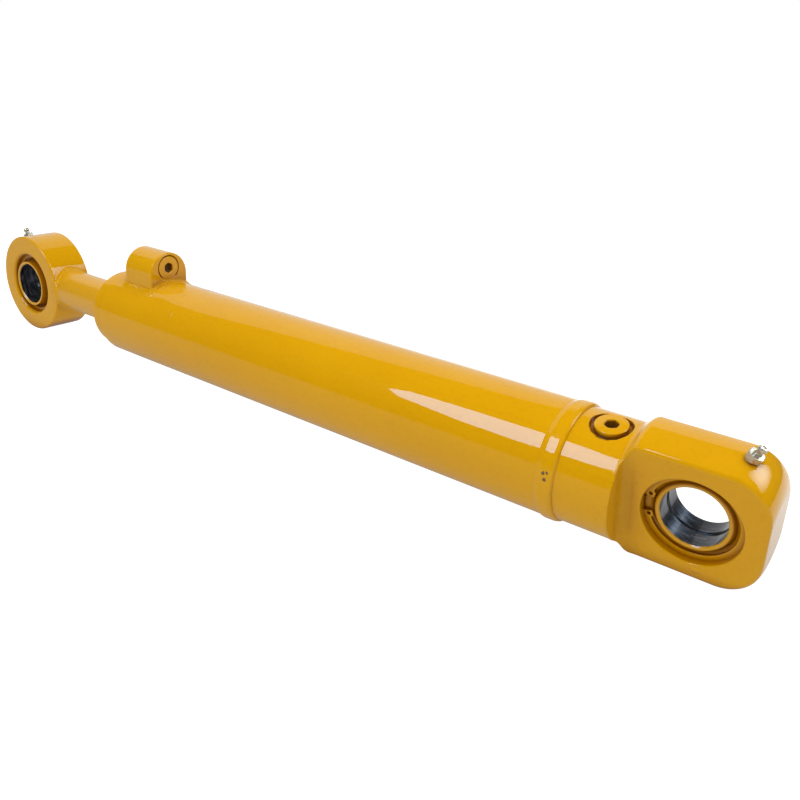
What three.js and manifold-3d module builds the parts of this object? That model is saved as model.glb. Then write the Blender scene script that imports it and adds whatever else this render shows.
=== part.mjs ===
// Double-acting hydraulic cylinder with a spherical plain bearing in each eye, shown closed.
// Units are millimetres and +Z is up. The barrel axis lies along X, with the cap eye at +X.
// A "station" is a distance along the barrel axis from the cap pin towards the rod pin,
// so a station s is at x = -s in the assembly group.

import * as THREE from 'three';
import { mergeVertices } from 'three/addons/utils/BufferGeometryUtils.js';
import Module from 'manifold-3d';

const wasm = await Module();
wasm.setup();

// ---------------------------------------------------------------- driving dimensions

const GAP = 0.3; // clearance between pieces that touch

// Spherical plain bearings held by two internal circlips: 50 x 75 x 35/28 in the cap eye, and
// 50 x 75 x 50/28 with an extended inner ring in the rod eye.
const PIN_R = 25;
const BEARING_R = 37.5;
const BALL_R = 33;
const CAP_INNER_HALF = 17.5;
const ROD_INNER_HALF = 25;
const ROD_BALL_HALF = 16.6;
const CAP_INNER_CHAMFER = 1;
const ROD_INNER_CHAMFER = 1.5;
const OUTER_HALF = 14;
const CLIP_THICK = 2.5;
const CLIP_GROOVE_R = 39;
const CLIP_INNER_R = 33;
const CLIP_LUG_R = 30.6;

// Overall layout, as stations.
const PIN_TO_PIN = 868;
const CAP_END = -52.9;
const BLOCK_START = 46;
const CAP_NECK = 52.5;
const CAP_PORT = 73;
const CAVITY_FLOOR = 62;
const CAP_JOINT = 104.3;
const SPIGOT_END = 116;
const HEAD_JOINT = 559.5;
const HEAD_FACE = 680;
const GLAND_SEAT = 640;
const GLAND_FACE = 697;
const BOSS_START = 609.5;
const BOSS_END = 656;

// Barrel, head and cap.
const BORE_R = 40;
const BARREL_R = 49;
const CAP_R = 47.8;
const BEAD_R = 50.4;
const CAVITY_R = 32;
const HEAD_ROUND = 3;

// Turned block of the cap eye, milled flat on both sides.
const BLOCK_R = 56.2;
const BLOCK_HALF = 23.2;
const CORNER_R = 30.8;
const SCOOP_R = 8.5;
const BLOCK_ROLL = THREE.MathUtils.degToRad(13.4);
const BLOCK_MOUTH = 1.3; // chamfer round the bore
const CAP_BALL_TILT = THREE.MathUtils.degToRad(-3.4);

// Rod, piston and rod eye.
const ROD_R = 24.8;
const SPIGOT_R = 18;
const PISTON_START = 118;
const PISTON_END = 162;
const PISTON_R = 39.3;
const RING_R = 39.7;
const NUT_START = 94;
const NUT_R = 27;
const ROD_EYE_R = 60.6;
const ROD_EYE_HALF = 24.4;
const ROD_EYE_MOUTH = 4.2; // chamfer round the bore

// Gland: a sleeve inside the head with a flange against its face.
const GLAND_R = 42.7;
const GLAND_FLANGE_R = 44.6;

// Ports and plugs.
const BOSS_HALF = 24.8;
const BOSS_CROWN = 57.3;
const BOSS_AXIS = 65;
const BOSS_PORT_DEPTH = 33;
const CAP_SPOT_R = 16.5;
const BOSS_SPOT_R = 15;
const PORT_R = 10.5;
const FLANGE_R = 13.2;
const FLANGE_THICK = 4;
const WASHER_THICK = 1.2;
const PLUG_LENGTH = 15;
const HEX_ACROSS = 10;
const HEX_DEPTH = 7;

// Grease nipples: M10 thread with an 11 mm hexagon.
const NIPPLE_HOLE_R = 4.6;
const NIPPLE_HEX = 11;
const CAP_NIPPLE_ANGLE = THREE.MathUtils.degToRad(27);
const CAP_NIPPLE_SIDE = -2;
const ROD_NIPPLE_ANGLE = THREE.MathUtils.degToRad(32);

const FINE = 32; // facets round large turned pieces
const HIDDEN = 24; // facets round seals, bushes and the piston
const MEDIUM = 28; // facets round bearings
const COARSE = 16; // facets round small pieces

// ---------------------------------------------------------------- materials

const yellow = () => new THREE.MeshStandardMaterial({ color: 0xe2a106, roughness: 0.28, metalness: 0.0 });
const bareSteel = () => new THREE.MeshStandardMaterial({ color: 0x8f9296, roughness: 0.35, metalness: 1.0 });
const chrome = () => new THREE.MeshStandardMaterial({ color: 0xd6d9dc, roughness: 0.08, metalness: 1.0 });
const oiledSteel = () => new THREE.MeshStandardMaterial({ color: 0x23262b, roughness: 0.3, metalness: 0.9 });
const zinc = () => new THREE.MeshStandardMaterial({ color: 0xb9ac86, roughness: 0.35, metalness: 1.0 });
const rubber = () => new THREE.MeshStandardMaterial({ color: 0x16181a, roughness: 0.7, metalness: 0.0 });
const polyurethane = () => new THREE.MeshStandardMaterial({ color: 0x2c4f78, roughness: 0.5, metalness: 0.0 });
const bronze = () => new THREE.MeshStandardMaterial({ color: 0xa8763a, roughness: 0.45, metalness: 0.9 });

// ---------------------------------------------------------------- solids

// Turns a closed three.js geometry into a manifold solid, with its faces pointing out.
function solid(geometry) {
  const bare = geometry.clone();
  bare.deleteAttribute('normal');
  bare.deleteAttribute('uv');
  const merged = mergeVertices(bare, 1e-4);
  const position = merged.attributes.position.array;
  const index = merged.index.array;
  const corner = (i) => new THREE.Vector3().fromArray(position, 3 * index[i]);
  let volume = 0;
  const kept = [];
  for (let i = 0; i < index.length; i += 3) {
    const [a, b, c] = [index[i], index[i + 1], index[i + 2]];
    if (a === b || b === c || c === a) continue;
    volume += corner(i).dot(corner(i + 1).cross(corner(i + 2)));
    kept.push(a, b, c);
  }
  if (volume < 0) kept.reverse();
  const vertProperties = new Float32Array(position);
  return new wasm.Manifold(new wasm.Mesh({ numProp: 3, vertProperties, triVerts: new Uint32Array(kept) }));
}

function subtract(body, ...cutters) {
  return cutters.reduce((left, cutter) => left.subtract(cutter), body);
}

// A named mesh made from a manifold solid.
function piece(name, body, material) {
  const mesh = body.getMesh();
  const geometry = new THREE.BufferGeometry();
  geometry.setAttribute('position', new THREE.BufferAttribute(new Float32Array(mesh.vertProperties), 3));
  geometry.setIndex(new THREE.BufferAttribute(new Uint32Array(mesh.triVerts), 1));
  geometry.computeVertexNormals();
  const result = new THREE.Mesh(geometry, material);
  result.name = name;
  return result;
}

// Points of a circular arc in a profile, from angle a to angle b in degrees.
function arc(centreU, centreV, radius, a, b, steps) {
  const points = [];
  for (let i = 0; i <= steps; i += 1) {
    const angle = THREE.MathUtils.degToRad(a + ((b - a) * i) / steps);
    points.push([centreU + radius * Math.cos(angle), centreV + radius * Math.sin(angle)]);
  }
  return points;
}

// Revolved solid about Y from a closed profile of [distance along Y, radius] points.
function latheY(profile, segments) {
  const points = [...profile, profile[0]].map(([along, radius]) => new THREE.Vector2(radius, along));
  return new THREE.LatheGeometry(points, segments);
}

// Revolved solid about the barrel axis from a closed profile of [station, radius] points.
function turned(profile, segments = FINE) {
  return solid(latheY(profile, segments).rotateZ(Math.PI / 2));
}

// Plain round bar about the barrel axis.
function bar(from, to, radius, segments = FINE) {
  return turned(
    [
      [from, 0],
      [from, radius],
      [to, radius],
      [to, 0],
    ],
    segments,
  );
}

// Revolved solid about a pin axis, which lies along Y.
function aboutPin(profile, segments = MEDIUM) {
  return solid(latheY(profile, segments));
}

// A plain round cutter about Y, from one distance to another.
function rodAlongY(radius, from, to, segments) {
  return new THREE.CylinderGeometry(radius, radius, to - from, segments).translate(0, (from + to) / 2, 0);
}

function ring(from, to, inner, outer) {
  return [
    [from, inner],
    [from, outer],
    [to, outer],
    [to, inner],
  ];
}

// ---------------------------------------------------------------- groups

const assembly = new THREE.Group();
const bounding = (PIN_TO_PIN + ROD_EYE_R + CAP_END) / 2; // from the cap pin to the middle of the length
assembly.position.set(bounding, 0, ROD_EYE_R);

const capEnd = new THREE.Group();
capEnd.rotation.x = BLOCK_ROLL;
const capBall = new THREE.Group();
capBall.rotation.x = CAP_BALL_TILT;
const rodEnd = new THREE.Group();
rodEnd.position.x = -PIN_TO_PIN;
capEnd.add(capBall);
assembly.add(capEnd, rodEnd);

// ---------------------------------------------------------------- cutters shared by both eyes

// Bearing bore with its two circlip grooves and chamfered mouths.
function bearingBore(halfWidth, chamfer) {
  const groove = OUTER_HALF + 0.15;
  const grooveEnd = groove + CLIP_THICK + 2 * GAP;
  const side = [
    [groove, BEARING_R],
    [groove, CLIP_GROOVE_R + GAP],
    [grooveEnd, CLIP_GROOVE_R + GAP],
    [grooveEnd, BEARING_R],
    [halfWidth - chamfer, BEARING_R],
    [halfWidth, BEARING_R + chamfer],
    [halfWidth + 5, BEARING_R + chamfer],
    [halfWidth + 5, 0],
  ];
  const mirrored = side.map(([along, radius]) => [-along, radius]).reverse();
  return aboutPin([...mirrored, ...side]);
}

// Hole for a grease nipple, leaning from vertical by an angle towards +X or -X, off centre by a side distance.
function nippleHole(angle, side = 0) {
  const hole = rodAlongY(NIPPLE_HOLE_R, BEARING_R - 3, 80, COARSE).rotateX(Math.PI / 2).rotateY(angle);
  return solid(hole.translate(0, side, 0));
}

// ---------------------------------------------------------------- bearing pieces

// Inner ring with a ball outside and a grease groove in its bore. A ring wider than its ball has plain shoulders.
function bearingInner(halfWidth, ballHalf, chamfer) {
  const edge = Math.asin(ballHalf / BALL_R) * THREE.MathUtils.RAD2DEG;
  const ball = arc(0, 0, BALL_R, 90 + edge, 90 - edge, 8);
  const shoulder = halfWidth > ballHalf ? [[halfWidth, Math.sqrt(BALL_R ** 2 - ballHalf ** 2)]] : [];
  const grooveHalf = 2.2;
  const grooveDepth = 1.4;
  return aboutPin([
    ...shoulder.map(([along, radius]) => [-along, radius]),
    ...ball,
    ...shoulder,
    [halfWidth, PIN_R + chamfer],
    [halfWidth - chamfer, PIN_R],
    [grooveHalf, PIN_R],
    [grooveHalf - 0.6, PIN_R + grooveDepth],
    [0.6 - grooveHalf, PIN_R + grooveDepth],
    [-grooveHalf, PIN_R],
    [chamfer - halfWidth, PIN_R],
    [-halfWidth, PIN_R + chamfer],
  ]);
}

function bearingOuter() {
  const seat = BALL_R + GAP;
  const edge = Math.asin(OUTER_HALF / seat) * THREE.MathUtils.RAD2DEG;
  const outside = BEARING_R - GAP;
  const chamfer = 0.8;
  return aboutPin([
    ...arc(0, 0, seat, 90 - edge, 90 + edge, 5),
    [-OUTER_HALF, outside - chamfer],
    [chamfer - OUTER_HALF, outside],
    [OUTER_HALF - chamfer, outside],
    [OUTER_HALF, outside - chamfer],
  ]);
}

// Internal circlip: an open ring with two drilled lugs either side of its gap. The gap faces +X or -X.
function circlip(side, gapDirection) {
  const outer = CLIP_GROOVE_R - GAP;
  const gapHalf = 12;
  const lugHalf = 21;
  const shape = new THREE.Shape();
  const at = (radius, degrees) => {
    const angle = THREE.MathUtils.degToRad(degrees);
    return [radius * Math.cos(angle), radius * Math.sin(angle)];
  };
  const rad = THREE.MathUtils.degToRad;
  shape.moveTo(...at(outer, gapHalf));
  shape.absarc(0, 0, outer, rad(gapHalf), rad(360 - gapHalf), false);
  shape.lineTo(...at(CLIP_LUG_R, -gapHalf));
  shape.absarc(0, 0, CLIP_LUG_R, rad(-gapHalf), rad(-gapHalf - lugHalf + gapHalf), true);
  shape.lineTo(...at(CLIP_INNER_R, -lugHalf - 3));
  shape.absarc(0, 0, CLIP_INNER_R, rad(-lugHalf - 3), rad(lugHalf + 3 - 360), true);
  shape.lineTo(...at(CLIP_LUG_R, lugHalf));
  shape.absarc(0, 0, CLIP_LUG_R, rad(lugHalf), rad(gapHalf), true);
  shape.closePath();
  const lugCentre = (CLIP_LUG_R + outer) / 2 - 0.8;
  for (const sign of [1, -1]) {
    const [x, y] = at(lugCentre, (sign * (gapHalf + lugHalf)) / 2);
    const hole = new THREE.Path();
    hole.absarc(x, y, 1.5, 0, 2 * Math.PI, true);
    shape.holes.push(hole);
  }
  const plate = new THREE.ExtrudeGeometry(shape, { depth: CLIP_THICK, bevelEnabled: false, curveSegments: 8 });
  if (gapDirection < 0) plate.rotateZ(Math.PI);
  const near = OUTER_HALF + 0.15 + GAP;
  const start = side > 0 ? near : -near - CLIP_THICK;
  return solid(plate.rotateX(Math.PI / 2).translate(0, start + CLIP_THICK, 0));
}

// ---------------------------------------------------------------- ports, plugs and nipples

// Port cutter about +Y from its mouth at zero: spotface, threaded hole, down to a depth.
function portCutter(spotRadius, depth) {
  const floor = FLANGE_THICK + WASHER_THICK + 2 * GAP;
  return latheY(
    [
      [20, 0],
      [20, spotRadius],
      [-floor, spotRadius],
      [-floor, PORT_R],
      [-depth, PORT_R],
      [-depth, 0],
    ],
    MEDIUM,
  );
}

// Plug with a flange, a plain shank for the thread and a hexagon socket; its top is at zero on Y.
function plug() {
  const chamfer = 0.8;
  const shank = PORT_R - GAP;
  const body = solid(
    latheY(
      [
        [0, 0],
        [0, FLANGE_R - chamfer],
        [-chamfer, FLANGE_R],
        [-FLANGE_THICK, FLANGE_R],
        [-FLANGE_THICK, shank],
        [-FLANGE_THICK - PLUG_LENGTH, shank],
        [-FLANGE_THICK - PLUG_LENGTH, 0],
      ],
      COARSE,
    ),
  );
  const hexRadius = HEX_ACROSS / Math.sqrt(3);
  return body.subtract(solid(rodAlongY(hexRadius, -HEX_DEPTH, 2, 6)));
}

function plugWasher() {
  const top = -FLANGE_THICK - GAP;
  return solid(latheY(ring(top - WASHER_THICK, top, PORT_R + GAP, FLANGE_R - 0.4), COARSE));
}

// Straight grease nipple about +Y, with its hexagon's foot at zero.
function nipple(shankLength) {
  const neck = 2.6;
  const hexHeight = 5.5;
  const tip = [
    [-shankLength, 0],
    [-shankLength, NIPPLE_HOLE_R - GAP],
    [1, NIPPLE_HOLE_R - GAP],
    [hexHeight - 0.5, 4.4],
    [hexHeight + 1.5, neck],
    [hexHeight + 4, neck],
    [hexHeight + 5.2, 3.3],
    [hexHeight + 6.6, 3.3],
    [hexHeight + 8, 2],
    [hexHeight + 8, 0],
  ];
  const hexagon = rodAlongY(NIPPLE_HEX / Math.sqrt(3), 0.4, hexHeight, 6);
  return solid(latheY(tip, COARSE)).add(solid(hexagon));
}

// Stands a solid made about +Y upright on +Z.
function upright(body) {
  return body.rotate([90, 0, 0]);
}

// ---------------------------------------------------------------- cap end

function capEye() {
  const outline = [
    [CAP_END, 0],
    ...arc(CAP_END + CORNER_R, BLOCK_R - CORNER_R, CORNER_R, 180, 90, 7),
    [BLOCK_START, BLOCK_R],
    [CAP_NECK, CAP_R],
    [CAP_JOINT - 7.3, CAP_R],
    [CAP_JOINT - 0.7, CAP_R - 6.6],
    [CAP_JOINT - 0.7, BORE_R - 2 * GAP],
    [SPIGOT_END, BORE_R - 2 * GAP],
    [SPIGOT_END, CAVITY_R],
    [CAVITY_FLOOR, CAVITY_R],
    [CAVITY_FLOOR, 0],
  ];
  const body = turned(outline);
  const flats = [1, -1].map((side) => {
    const shape = new THREE.Shape();
    const wall = -CAP_NECK;
    shape.moveTo(80, side * BLOCK_HALF);
    shape.lineTo(wall + SCOOP_R, side * BLOCK_HALF);
    shape.absarc(wall + SCOOP_R, side * (BLOCK_HALF + SCOOP_R), SCOOP_R, (-side * Math.PI) / 2, Math.PI, side > 0);
    shape.lineTo(wall, side * 70);
    shape.lineTo(80, side * 70);
    shape.closePath();
    const block = new THREE.ExtrudeGeometry(shape, { depth: 160, bevelEnabled: false, curveSegments: 6 });
    return solid(block.translate(0, 0, -80));
  });
  const port = upright(solid(portCutter(CAP_SPOT_R, CAP_R - CAVITY_R + 3))).translate([-CAP_PORT, 0, CAP_R + 0.2]);
  return subtract(body, ...flats, bearingBore(BLOCK_HALF, BLOCK_MOUTH), port, nippleHole(CAP_NIPPLE_ANGLE, CAP_NIPPLE_SIDE));
}

capEnd.add(piece('cap_eye', capEye(), yellow()));
capEnd.add(piece('cap_bearing_outer', bearingOuter(), yellow()));
capBall.add(piece('cap_bearing_inner', bearingInner(CAP_INNER_HALF, CAP_INNER_HALF, CAP_INNER_CHAMFER), oiledSteel()));
capEnd.add(piece('cap_circlip_front', circlip(-1, -1), yellow()));
capEnd.add(piece('cap_circlip_back', circlip(1, -1), yellow()));

for (const [name, body, material] of [
  ['cap_port_plug', plug(), yellow()],
  ['cap_plug_washer', plugWasher(), bareSteel()],
]) {
  const mesh = piece(name, upright(body), material);
  mesh.position.set(-CAP_PORT, 0, CAP_R + 0.2);
  capEnd.add(mesh);
}

// Distance from the cap pin to the turned corner, along the nipple's line.
function cornerReach(angle) {
  const [cx, cz] = [-CAP_END - CORNER_R, BLOCK_R - CORNER_R];
  const along = cx * Math.sin(angle) + cz * Math.cos(angle);
  return along + Math.sqrt(along * along - cx * cx - cz * cz + CORNER_R * CORNER_R);
}

function placeNipple(group, name, angle, reach, side = 0) {
  const mesh = piece(name, upright(nipple(9)), zinc());
  mesh.rotation.y = angle;
  mesh.position.set(reach * Math.sin(angle), side, reach * Math.cos(angle));
  group.add(mesh);
}

const capNippleFoot = cornerReach(CAP_NIPPLE_ANGLE) + 3 * GAP;
placeNipple(capEnd, 'cap_grease_nipple', CAP_NIPPLE_ANGLE, capNippleFoot, CAP_NIPPLE_SIDE);

assembly.add(
  piece(
    'cap_weld',
    turned([
      [CAP_JOINT - 0.2, CAP_R - 6.4],
      [CAP_JOINT - 7.2, CAP_R + 0.5],
      [CAP_JOINT - 4.5, BEAD_R - 0.7],
      [CAP_JOINT, BEAD_R],
      [CAP_JOINT + 4.5, BEAD_R - 0.6],
      [CAP_JOINT + 7.2, CAP_R + 0.7],
      [CAP_JOINT + 0.2, CAP_R - 6.4],
    ]),
    yellow(),
  ),
);

// ---------------------------------------------------------------- barrel and head

assembly.add(
  piece(
    'barrel_tube',
    turned([
      [CAP_JOINT + 0.7, BORE_R],
      [CAP_JOINT + 0.7, CAP_R - 6.6],
      [CAP_JOINT + 7.7, CAP_R],
      [CAP_JOINT + 9.5, BARREL_R],
      [HEAD_JOINT - 4, BARREL_R],
      [HEAD_JOINT - 0.7, BARREL_R - 5],
      [HEAD_JOINT - 0.7, BORE_R],
    ]),
    yellow(),
  ),
);

assembly.add(
  piece(
    'head_weld',
    turned([
      [HEAD_JOINT - 0.2, BARREL_R - 4.8],
      [HEAD_JOINT - 3.5, BARREL_R + 0.1],
      [HEAD_JOINT, BARREL_R + 0.4],
      [HEAD_JOINT + 3.5, BARREL_R + 0.1],
      [HEAD_JOINT + 0.2, BARREL_R - 4.8],
    ]),
    yellow(),
  ),
);

// Passage from the port, down through the wall of the head into the bore.
function headPassage() {
  const radius = 5;
  const cutter = rodAlongY(radius, BORE_R - 4, BOSS_AXIS - 2, COARSE).rotateX(Math.PI / 2);
  return solid(cutter.translate(-(GLAND_SEAT - 9), 0, 0));
}

function headHousing() {
  const body = turned([
    [HEAD_JOINT + 0.7, BORE_R],
    [HEAD_JOINT + 0.7, BARREL_R - 5],
    [HEAD_JOINT + 4, BARREL_R],
    ...arc(HEAD_FACE - HEAD_ROUND, BARREL_R - HEAD_ROUND, HEAD_ROUND, 90, 0, 4),
    [HEAD_FACE, GLAND_R + GAP],
    [GLAND_SEAT, GLAND_R + GAP],
    [GLAND_SEAT, BORE_R],
  ]);
  return body.subtract(headPassage());
}

assembly.add(piece('head_housing', headHousing(), yellow()));

// U-shaped outline of the port boss, widened by a margin, extruded between two stations.
function bossOutline(margin, from, to) {
  const half = BOSS_HALF + margin;
  const shape = new THREE.Shape();
  shape.moveTo(-half, 20);
  shape.lineTo(half, 20);
  shape.lineTo(half, BOSS_CROWN);
  shape.absarc(0, BOSS_CROWN, half, 0, Math.PI, false);
  shape.closePath();
  const block = new THREE.ExtrudeGeometry(shape, { depth: to - from, bevelEnabled: false, curveSegments: 18 });
  return solid(block.rotateX(Math.PI / 2).rotateZ(Math.PI / 2).translate(-to, 0, 0));
}

const aroundHead = (radius) => bar(HEAD_JOINT - 20, HEAD_FACE + 20, radius);

function portBoss() {
  const port = solid(portCutter(BOSS_SPOT_R, BOSS_PORT_DEPTH).rotateZ(-Math.PI / 2)).translate([-BOSS_START, 0, BOSS_AXIS]);
  return subtract(bossOutline(0, BOSS_START, BOSS_END), aroundHead(BARREL_R + GAP), port, headPassage());
}

// Fillet weld that follows the foot of the boss round the head.
function portBossWeld() {
  const reach = 6;
  const lower = bossOutline(reach, BOSS_START - reach, BOSS_END + reach).intersect(aroundHead(BARREL_R + 2));
  const upper = bossOutline(reach / 2, BOSS_START - reach / 2, BOSS_END + reach / 2);
  const collar = lower.add(upper.intersect(aroundHead(BARREL_R + 4.5)));
  return subtract(collar, aroundHead(BARREL_R + GAP), bossOutline(GAP, BOSS_START - GAP, BOSS_END + GAP));
}

assembly.add(piece('port_boss', portBoss(), yellow()));
assembly.add(piece('port_boss_weld', portBossWeld(), yellow()));

for (const [name, body, material] of [
  ['head_port_plug', plug(), yellow()],
  ['head_plug_washer', plugWasher(), bareSteel()],
]) {
  const mesh = piece(name, body.rotate([0, 0, -90]), material);
  mesh.position.set(-BOSS_START, 0, BOSS_AXIS);
  assembly.add(mesh);
}

// ---------------------------------------------------------------- gland and its seals

const SEAL_R = 31; // radius of the seal grooves in the gland
const BUSH_R = 27.8;
const GLAND_BORE_R = ROD_R + 2 * GAP;
const BUSH = [GLAND_SEAT + 4, GLAND_SEAT + 20];
const BUFFER = [GLAND_SEAT + 24, GLAND_SEAT + 30];
const ROD_SEAL = [GLAND_SEAT + 35, GLAND_SEAT + 44];
const WIPER_START = GLAND_FACE - 9;
const O_RING = [GLAND_SEAT + 12, GLAND_SEAT + 16.5];
const BACKUP = [O_RING[1] + GAP, O_RING[1] + 2];
const STATIC_R = 39.4; // floor of the groove for the static seal
const FLANGE_CHAMFER = 1.5;

// A rectangular groove in a profile, entered and left at one radius.
function groove([from, to], floor, surface) {
  return [
    [from - GAP, surface],
    [from - GAP, floor],
    [to + GAP, floor],
    [to + GAP, surface],
  ];
}

function gland() {
  const inside = [
    ...groove(BUSH, BUSH_R, GLAND_BORE_R),
    ...groove(BUFFER, SEAL_R, GLAND_BORE_R),
    ...groove(ROD_SEAL, SEAL_R, GLAND_BORE_R),
    [WIPER_START, GLAND_BORE_R],
    [WIPER_START, SEAL_R],
    [GLAND_FACE, SEAL_R],
  ];
  const outside = [
    [GLAND_FACE, GLAND_FLANGE_R - FLANGE_CHAMFER],
    [GLAND_FACE - FLANGE_CHAMFER, GLAND_FLANGE_R],
    [HEAD_FACE + GAP, GLAND_FLANGE_R],
    [HEAD_FACE + GAP, GLAND_R],
    ...groove([O_RING[0], BACKUP[1]], STATIC_R, GLAND_R).reverse(),
    [GLAND_SEAT + GAP, GLAND_R],
  ];
  return turned([[GLAND_SEAT + GAP, GLAND_BORE_R], ...inside, ...outside]);
}

assembly.add(piece('gland', gland(), yellow()));
const glandRings = [
  ['rod_bushing', ring(...BUSH, ROD_R + GAP, BUSH_R - GAP), bronze()],
  ['buffer_seal', ring(...BUFFER, ROD_R + GAP, SEAL_R - GAP), polyurethane()],
  ['rod_seal', ring(...ROD_SEAL, ROD_R + GAP, SEAL_R - GAP), polyurethane()],
  ['gland_o_ring', ring(...O_RING, STATIC_R + 2 * GAP, GLAND_R), rubber()],
  ['gland_backup_ring', ring(...BACKUP, STATIC_R + 2 * GAP, GLAND_R), polyurethane()],
];
for (const [name, profile, material] of glandRings) {
  assembly.add(piece(name, turned(profile, HIDDEN), material));
}

// Wiper with a lip that stands out of the gland and scrapes the rod.
assembly.add(
  piece(
    'wiper_seal',
    turned([
      [WIPER_START + GAP, ROD_R + 2.5],
      [WIPER_START + GAP, SEAL_R - GAP],
      [GLAND_FACE, SEAL_R - GAP],
      [GLAND_FACE + 2.5, ROD_R + 1.8],
      [GLAND_FACE + 2.5, ROD_R + GAP],
      [GLAND_FACE - 1, ROD_R + 0.6],
    ]),
    rubber(),
  ),
);

// ---------------------------------------------------------------- rod and piston

function aroundRodEye(radius) {
  return solid(rodAlongY(radius, -60, 60, FINE)).translate([-PIN_TO_PIN, 0, 0]);
}

function rod() {
  const chamfer = 1.5;
  const blank = turned([
    [NUT_START - 2, 0],
    [NUT_START - 2, SPIGOT_R - chamfer],
    [NUT_START - 2 + chamfer, SPIGOT_R],
    [PISTON_END + GAP, SPIGOT_R],
    [PISTON_END + GAP, ROD_R],
    [PIN_TO_PIN - 45, ROD_R],
    [PIN_TO_PIN - 45, 0],
  ]);
  return blank.subtract(aroundRodEye(ROD_EYE_R + GAP));
}

function rodEyeWeld() {
  const foot = PIN_TO_PIN - ROD_EYE_R;
  const collar = turned([
    [foot - 7, ROD_R + GAP],
    [foot - 6, ROD_R + 1.2],
    [foot, ROD_R + 2.4],
    [foot + 8, ROD_R + 5],
    [foot + 12, ROD_R + 5],
    [foot + 12, ROD_R + GAP],
  ]);
  return collar.subtract(aroundRodEye(ROD_EYE_R + GAP));
}

const PISTON_SEAL = [136, 144];
const WEAR_BANDS = [
  [122, 130],
  [150, 158],
];
const RING_FLOOR = 36;

function piston() {
  const grooves = [WEAR_BANDS[0], PISTON_SEAL, WEAR_BANDS[1]].flatMap((span) => groove(span, RING_FLOOR, PISTON_R));
  const profile = [
    [PISTON_START, SPIGOT_R + GAP],
    [PISTON_START, PISTON_R - 1.5],
    [PISTON_START + 1.5, PISTON_R],
    ...grooves,
    [PISTON_END - 1.5, PISTON_R],
    [PISTON_END, PISTON_R - 1.5],
    [PISTON_END, SPIGOT_R + GAP],
  ];
  return turned(profile, HIDDEN);
}

function pistonNut() {
  const hexagon = rodAlongY(NUT_R, NUT_START, PISTON_START - GAP, 6).rotateZ(Math.PI / 2);
  return solid(hexagon).subtract(bar(NUT_START - 5, PISTON_START + 5, SPIGOT_R + GAP));
}

assembly.add(piece('rod', rod(), chrome()));
assembly.add(piece('rod_eye_weld', rodEyeWeld(), yellow()));
assembly.add(piece('piston', piston(), bareSteel()));
assembly.add(piece('piston_nut', pistonNut(), bareSteel()));
const pistonRing = (span) => turned(ring(...span, RING_FLOOR + GAP, RING_R), HIDDEN);
assembly.add(piece('piston_seal', pistonRing(PISTON_SEAL), rubber()));
assembly.add(piece('piston_wear_band_1', pistonRing(WEAR_BANDS[0]), bronze()));
assembly.add(piece('piston_wear_band_2', pistonRing(WEAR_BANDS[1]), bronze()));

// ---------------------------------------------------------------- rod eye

function rodEye() {
  const chamfer = 1.5;
  const blank = aboutPin(
    [
      [-ROD_EYE_HALF, 0],
      [-ROD_EYE_HALF, ROD_EYE_R - chamfer],
      [chamfer - ROD_EYE_HALF, ROD_EYE_R],
      [ROD_EYE_HALF - chamfer, ROD_EYE_R],
      [ROD_EYE_HALF, ROD_EYE_R - chamfer],
      [ROD_EYE_HALF, 0],
    ],
    FINE,
  );
  return subtract(blank, bearingBore(ROD_EYE_HALF, ROD_EYE_MOUTH), nippleHole(-ROD_NIPPLE_ANGLE));
}

rodEnd.add(piece('rod_eye', rodEye(), yellow()));
rodEnd.add(piece('rod_bearing_outer', bearingOuter(), yellow()));
rodEnd.add(piece('rod_bearing_inner', bearingInner(ROD_INNER_HALF, ROD_BALL_HALF, ROD_INNER_CHAMFER), oiledSteel()));
rodEnd.add(piece('rod_circlip_front', circlip(-1, -1), yellow()));
rodEnd.add(piece('rod_circlip_back', circlip(1, -1), yellow()));
placeNipple(rodEnd, 'rod_grease_nipple', -ROD_NIPPLE_ANGLE, ROD_EYE_R);

const cylinder = new THREE.Group();
cylinder.add(assembly);

export default cylinder;
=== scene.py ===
# Looks for a double-acting hydraulic cylinder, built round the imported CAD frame.
# Shapes are made in millimetres in "station" coordinates and placed in the row frame in metres.
# A station is a distance along the barrel axis from the cap pin towards the rod pin.

import math

import bpy
import numpy as np
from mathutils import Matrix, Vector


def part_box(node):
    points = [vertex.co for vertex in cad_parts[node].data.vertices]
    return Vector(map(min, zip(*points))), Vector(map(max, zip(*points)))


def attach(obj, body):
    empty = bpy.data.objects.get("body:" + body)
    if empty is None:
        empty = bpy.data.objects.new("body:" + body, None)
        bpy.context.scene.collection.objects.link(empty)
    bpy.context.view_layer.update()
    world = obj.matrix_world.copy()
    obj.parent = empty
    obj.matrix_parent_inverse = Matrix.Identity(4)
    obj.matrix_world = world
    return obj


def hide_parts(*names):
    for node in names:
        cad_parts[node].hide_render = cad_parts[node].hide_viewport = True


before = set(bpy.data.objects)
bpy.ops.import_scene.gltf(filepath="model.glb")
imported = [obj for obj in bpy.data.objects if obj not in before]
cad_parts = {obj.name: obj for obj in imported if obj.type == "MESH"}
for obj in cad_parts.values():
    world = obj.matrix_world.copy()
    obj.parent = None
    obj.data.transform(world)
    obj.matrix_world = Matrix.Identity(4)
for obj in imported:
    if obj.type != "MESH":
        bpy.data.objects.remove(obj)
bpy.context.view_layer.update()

MM = 0.001

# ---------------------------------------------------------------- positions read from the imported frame


def box_mm(node):
    low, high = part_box(node)
    return np.array(low) / MM, np.array(high) / MM


def centre_mm(node):
    low, high = box_mm(node)
    return (low + high) / 2


CAP_PIN = centre_mm("cap_bearing_inner")
ROD_PIN = centre_mm("rod_bearing_inner")
AXIS_Z = ROD_PIN[2]
CAP_X = CAP_PIN[0]
PIN_TO_PIN = CAP_X - ROD_PIN[0]

# ---------------------------------------------------------------- dimensions, in millimetres

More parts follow.
